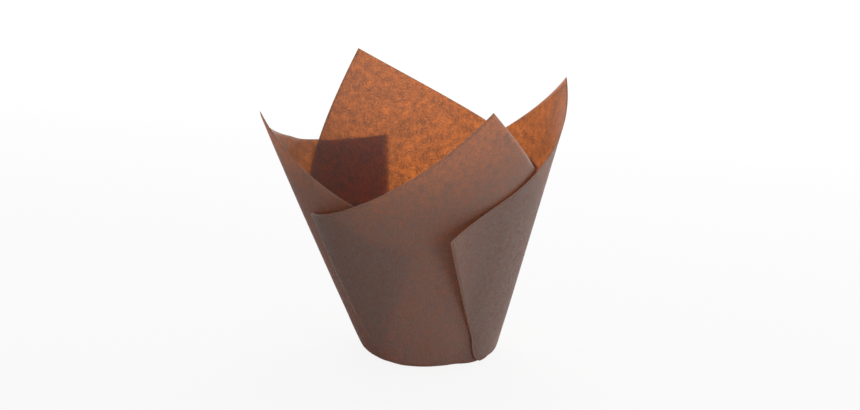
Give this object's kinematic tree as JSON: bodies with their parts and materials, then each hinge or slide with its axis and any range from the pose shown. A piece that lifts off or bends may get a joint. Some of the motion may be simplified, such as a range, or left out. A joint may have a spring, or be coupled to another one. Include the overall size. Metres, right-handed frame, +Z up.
{
  "type": "tulip baking cup",
  "caption": "Flared paper baking cup folded from a slit square sheet, with a flat round base and pointed, overlapping petals that stand up in a loose spiral",
  "frame": {"origin": "middle of the round base, on the face the cup stands on", "axes": "+Z up along the cup's axis, -Y towards the front petal and the camera, +X to the right in the picture"},
  "size_m": [0.1059, 0.1191, 0.0954],
  "materials": {
    "paper": "matte brown baking paper, slightly see-through against the light"
  },
  "bodies": {
    "root": {"tulip_cup": "paper"}
  },
  "joints": []
}
